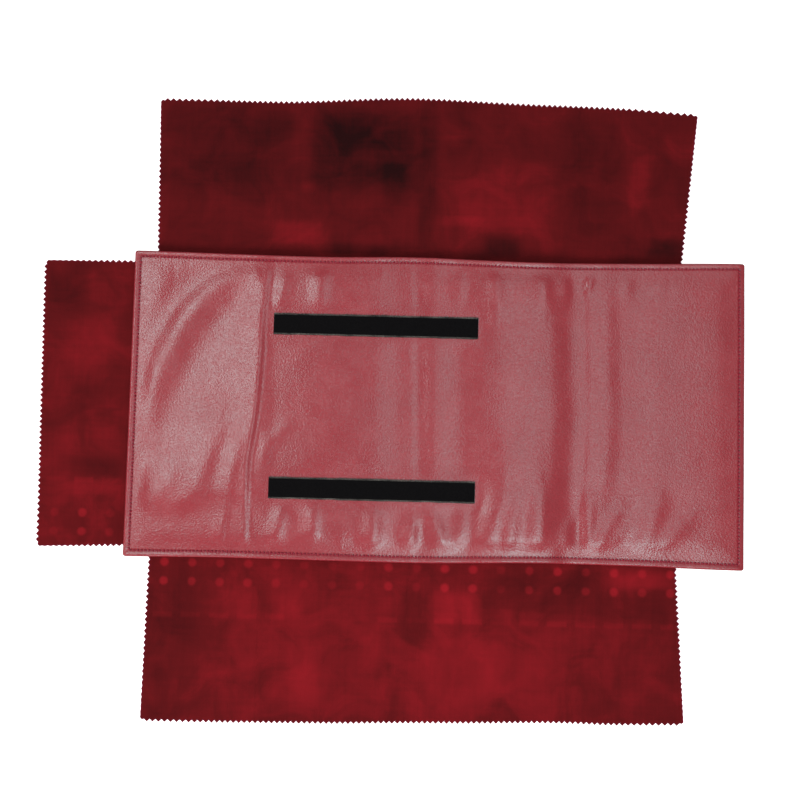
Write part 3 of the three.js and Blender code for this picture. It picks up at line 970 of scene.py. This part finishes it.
def leaf_piece(leaf, plan, cut_edges, materials):
    """A flap's leaf from its plan grid, blended from the panel's edge."""
    x, y, height, lap = plan
    half = CLOTH / 2 * np.where(lap, LAP_SHARE, 1)[:, None]
    top = np.stack([x, y, height + CLOTH / 2 + half], -1)
    bottom = np.stack([x, y, height + CLOTH / 2 - half], -1)
    points, faces, kinds = closed_sheet(top, bottom)
    rows = x.shape[1]
    inner = np.tile(np.repeat(lap, rows), 2)[faces].all(1)
    column, row = np.divmod(np.arange(int((kinds == 0).sum())), rows - 1)
    slots = np.where((kinds == 2) & ~inner, 1, 0)
    slots[:len(row)] = np.isin(column, cut_edges[0]) | (row == cut_edges[1])
    piece = mesh_piece(leaf + "_cloth", points, faces, materials, slots)
    # Patches of pile lay and of painted light and shade for the velvet
    add_layer(piece, "pile_lay_and_light", pile_lay_and_light(points[:, 0], points[:, 1]))
    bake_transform(piece)
    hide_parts(leaf)
    return piece


def make_leaf(side, leaf, span, depth, part, materials):
    """One leaf of a flap: the part that hangs on one section."""
    low, high = span
    start, stop = part
    is_first, is_last = start == low, stop == high
    inner = tooth_places(low, high, start, stop)
    before = [low, low + CUT_WIDTH] if is_first else [start - LEAF_LAP, start, inner[1]]
    after = [high - CUT_WIDTH, high] if is_last else [inner[-2], stop, stop + LEAF_LAP]
    columns = np.concatenate([before, inner[2:-2], after])
    lap = (columns < start) | (columns > stop)
    along, out, hem = flap_plan(side, columns, span, depth, is_first, is_last)
    way_x, way_y = FLAP_WAYS[side]
    x, y = (way_x * out, along) if way_x else (along, way_y * out)
    height = cloth_height(x, y) + (ROOT_LEVEL - CLOTH + LEFT_EDGE_RISE * abs(way_x)) * hem
    cut_edges = ([0] * is_first + [len(columns) - 2] * is_last, x.shape[1] - 2)
    if way_y < 0:
        x, y, height = x[:, ::-1], y[:, ::-1], height[:, ::-1]
        cut_edges = (cut_edges[0], 0)
    piece = leaf_piece(leaf, (x, y, height, lap), cut_edges, materials)


def make_flaps(materials):
    """The long flaps, with a leaf on each section, and the left flap."""
    for side in ("top", "bottom"):
        boxes = {section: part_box(f"{side}_flap_{section}") for section in SECTIONS}
        stops = [boxes["core"][0].x, *FOLDS, boxes["closing"][1].x]
        span = (stops[0], stops[-1])
        depth = (HALF_WIDTH - HINGE_INSET, max(abs(corner.y) for corner in boxes["base"]))
        for section, part in zip(SECTIONS, zip(stops, stops[1:])):
            make_leaf(side, f"{side}_flap_{section}", span, depth, part, materials)
    low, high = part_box("left_flap")
    span = (low.y, high.y)
    make_leaf("left", "left_flap", span, (-(LEFT + HINGE_INSET), -low.x), span, materials)


def tape_grids(span, start, stop):
    """The upper and lower grid of a stretch of tape."""
    low_x, high_x, low_y, high_y = span
    inner = spaced(low_y + TAPE_EDGE[-1], high_y - TAPE_EDGE[-1], TAPE_STEP)[1:-1]
    rows = np.concatenate([low_y + TAPE_EDGE, inner, (high_y - TAPE_EDGE)[::-1]])
    x, y = np.meshgrid(spaced(start, stop, TAPE_STEP), rows, indexing="ij")
    inside = np.minimum(y - low_y, high_y - y)
    end = np.minimum(x - low_x, high_x - x)
    flat = leather_height(x, y, np.full(x.shape, TAPE_DEPTH))
    pile = SELVAGE_DROP + uneven(x, y, TAPE_PILE)
    body = smooth_step(np.minimum(inside, end + SELVAGE_END), SELVAGE * 0.5, SELVAGE * 1.3)
    waver = uneven(x, y * 0, TAPE_WAVER) * np.sign(y - (low_y + high_y) / 2)
    y = y + waver * (1 - smooth_step(inside, 0, WAVER_REACH))
    top = np.stack([x, y, flat + SELVAGE_HEIGHT + pile * body], -1)
    return top, np.stack([x, y, flat - TAPE_SINK], -1)


def make_tape(side, materials):
    """A loop tape: a fuzzy middle between two flat woven edges."""
    span = tape_span(side)
    stretches = ((1, span[0], CUTS[1], ("middle", "inner_spine")), (2, CUTS[1], span[1], ("base",)))
    for k, start, stop, nodes in stretches:
        top, bottom = tape_grids(span, start, stop)
        points, faces, kinds = closed_sheet(top, bottom)
        quads = top.shape[1] - 1
        row = np.arange(int((kinds == 0).sum())) % quads
        slots = np.where(kinds == 2, 1, 0)
        slots[:len(row)] = (row < SELVAGE_QUADS) | (row >= quads - SELVAGE_QUADS)
        piece = bent_piece("loop_tape_" + side, k, "tape", points, faces, materials, slots)
        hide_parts(*(f"loop_{side}_{node}" for node in nodes))


def make_lining(material):
    """The velvet lining, drawn down to the edge of the panel."""
    columns, rows = panel_places(LINING_INSET, LINING_STEP, LINING_BORDER)
    x, y, depth = panel_plan(columns, rows, LINING_INSET)
    edge = RIM_LEVEL - LINING_TUCK
    rise = smooth_step(depth, LINING_START, LINING_BORDER[-1])
    low = edge + (LINING_LEVEL - edge + uneven(x, y, LINING_DENTS)) * rise
    top = np.stack([x, y, low + LINING_THICKNESS * rise + LINING_EDGE], -1)
    points, faces, _ = closed_sheet(top, np.stack([x, y, low], -1))
    nodes = {name: ["lining_" + name] for name in SECTIONS}
    make_stretches("lining", points, faces, material, nodes)


def turned(profile, centre, sides):
    """A shape turned from a profile of radius and level."""
    points = [(*place, level) for radius, level in profile for place in centre + circle(sides) * radius]
    return points, ring_faces(len(profile), sides)


def snap_centres(node):
    """Where the two snaps of a strap lie."""
    low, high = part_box(node)
    return [((low.x + high.x) / 2, low.y + place) for place in SNAP_PLACES]


def strap_outline(low_x, high_x, tip, root):
    """Columns across the strap and rows along it, with a round tip."""
    half = (high_x - low_x) / 2
    shares = np.sin(np.linspace(-math.pi / 2, math.pi / 2, STRAP_COLUMNS))
    rows = np.concatenate([STRAP_TIP_STEPS, spaced(STRAP_TIP, root - tip, STRAP_STEP)])
    across, along = np.meshgrid(shares, rows, indexing="ij")
    narrow = np.sqrt(np.clip(1 - (1 - np.minimum(along / half, 1)) ** 2, 0, 1))
    narrow = np.maximum(narrow, STRAP_TIP_WIDTH)
    return (low_x + high_x) / 2 + across * half * narrow, tip + along, across, along


def make_strap(node, materials):
    """A snap strap: a padded velvet band with two domed metal caps."""
    low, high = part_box(node)
    level = high.z - STRAP_THICKNESS
    x, y, across, along = strap_outline(low.x, high.x, low.y, high.y)
    edge = np.sqrt(np.clip(1 - np.abs(across) ** 6, 0, 1)) * smooth_step(along, *STRAP_TIP_EASE)
    seam = SEAM_DEPTH * np.exp(-((np.abs(across) - SEAM_PLACE) / SEAM_WIDTH) ** 2)
    half = (STRAP_THICKNESS / 2) * (STRAP_EDGE + (1 - STRAP_EDGE) * edge) - seam
    middle = level + STRAP_THICKNESS / 2
    points, faces, _ = closed_sheet(np.stack([x, y, middle + half], -1), np.stack([x, y, middle - half], -1))
    points, faces = list(points), list(faces)
    velvet_count = len(faces)
    cap = [(CAP_RADIUS * r, level + CAP_SINK + (level - low.z) * h) for r, h in CAP_SHAPE]
    for centre in snap_centres(node):
        add_shape(points, faces, turned(cap, centre, CAP_SIDES))
    slots = [0] * velvet_count + [1] * (len(faces) - velvet_count)
    piece = mesh_piece(node + "_band", points, faces, materials, slots)
    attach(piece, node)
    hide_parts(node)


def make_studs(section, count, material):
    """The studs on the lining that the snap caps close on."""
    points, faces = [], []
    stud = [(STUD_RADIUS * r, LINING_LEVEL + STUD_HEIGHT * h) for r, h in STUD_SHAPE]
    for i in range(1, count + 1):
        for centre in snap_centres(f"strap_{section}_{i}"):
            add_shape(points, faces, turned(stud, centre, STUD_SIDES))
    piece = mesh_piece(f"studs_{section}", points, faces, [material])
    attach(piece, section)


def make_hooks(side, material):
    """A hook patch on the inside of the closing section."""
    low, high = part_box(f"hook_{side}")
    places = [spaced(low[k], high[k], HOOK_STEP) for k in range(2)]
    x, y = np.meshgrid(*places, indexing="ij")
    inside = np.minimum.reduce([x - low.x, high.x - x, y - low.y, high.y - y])
    hooks = np.indices(x.shape).sum(0) % 2 * smooth_step(inside, *HOOK_MARGIN)
    bottom = np.stack([x, y, low.z + HOOK_BASE - hooks * HOOK_HEIGHT], -1)
    top = np.stack([x, y, np.full(x.shape, high.z)], -1)
    points, faces, _ = closed_sheet(top, bottom)
    piece = mesh_piece(f"hook_patch_{side}", points, faces, [material])
    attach(piece, "closing")
    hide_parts(f"hook_{side}")


def make_floor():
    """The floor, which the leather doesn't mirror."""
    sides = (-FLOOR_SIZE / 2, FLOOR_SIZE / 2)
    corners = [(x, y, FLOOR_LEVEL) for x in sides for y in sides]
    floor = mesh_piece("floor", corners, [(0, 2, 3, 1)], [floor_material()])
    floor.visible_glossy = False


def add_light(name, place, aim, size, power, colour, mirrored):
    """A soft box that faces a point of the object."""
    data = bpy.data.lights.new(name, "AREA")
    data.shape = "RECTANGLE"
    data.size, data.size_y = size
    data.energy = power
    data.color = colour
    light = bpy.data.objects.new(name, data)
    light.location = place
    light.rotation_euler = (Vector(aim) - Vector(place)).to_track_quat("-Z", "X").to_euler()
    light.visible_camera = False
    light.visible_glossy = mirrored
    bpy.context.scene.collection.objects.link(light)


def make_stage():
    """The floor, the soft light and the camera."""
    make_floor()
    scene = bpy.context.scene
    scene.world = bpy.data.worlds.new("studio")
    scene.world.use_nodes = True
    background = scene.world.node_tree.nodes["Background"]
    background.inputs["Color"].default_value = (1, 1, 1, 1)
    background.inputs["Strength"].default_value = WORLD_GLOW
    for name, settings in LIGHTS.items():
        add_light(name, *settings)
    camera = bpy.data.objects.new("camera", bpy.data.cameras.new("camera"))
    camera.data.lens = CAMERA_LENS
    camera.location = CAMERA_PLACE
    camera.rotation_euler = [math.radians(a) for a in CAMERA_TURN]
    scene.collection.objects.link(camera)
    scene.camera = camera
    scene.view_settings.view_transform = "Standard"


make_stage()
make_leather(leather_material())
make_stitches(thread_material())
make_flaps([velvet_material(), cut_edge_material()])
tape = [tape_material(), selvage_material()]
make_tape("upper", tape)
make_tape("lower", tape)
lining = lining_material()
metal = metal_material()
make_lining(lining)
for section_name, strap_count in STRAP_COUNTS.items():
    for number in range(1, strap_count + 1):
        make_strap(f"strap_{section_name}_{number}", [lining, metal])
    make_studs(section_name, strap_count, metal)
hooks_black = hook_material()
make_hooks("upper", hooks_black)
make_hooks("lower", hooks_black)
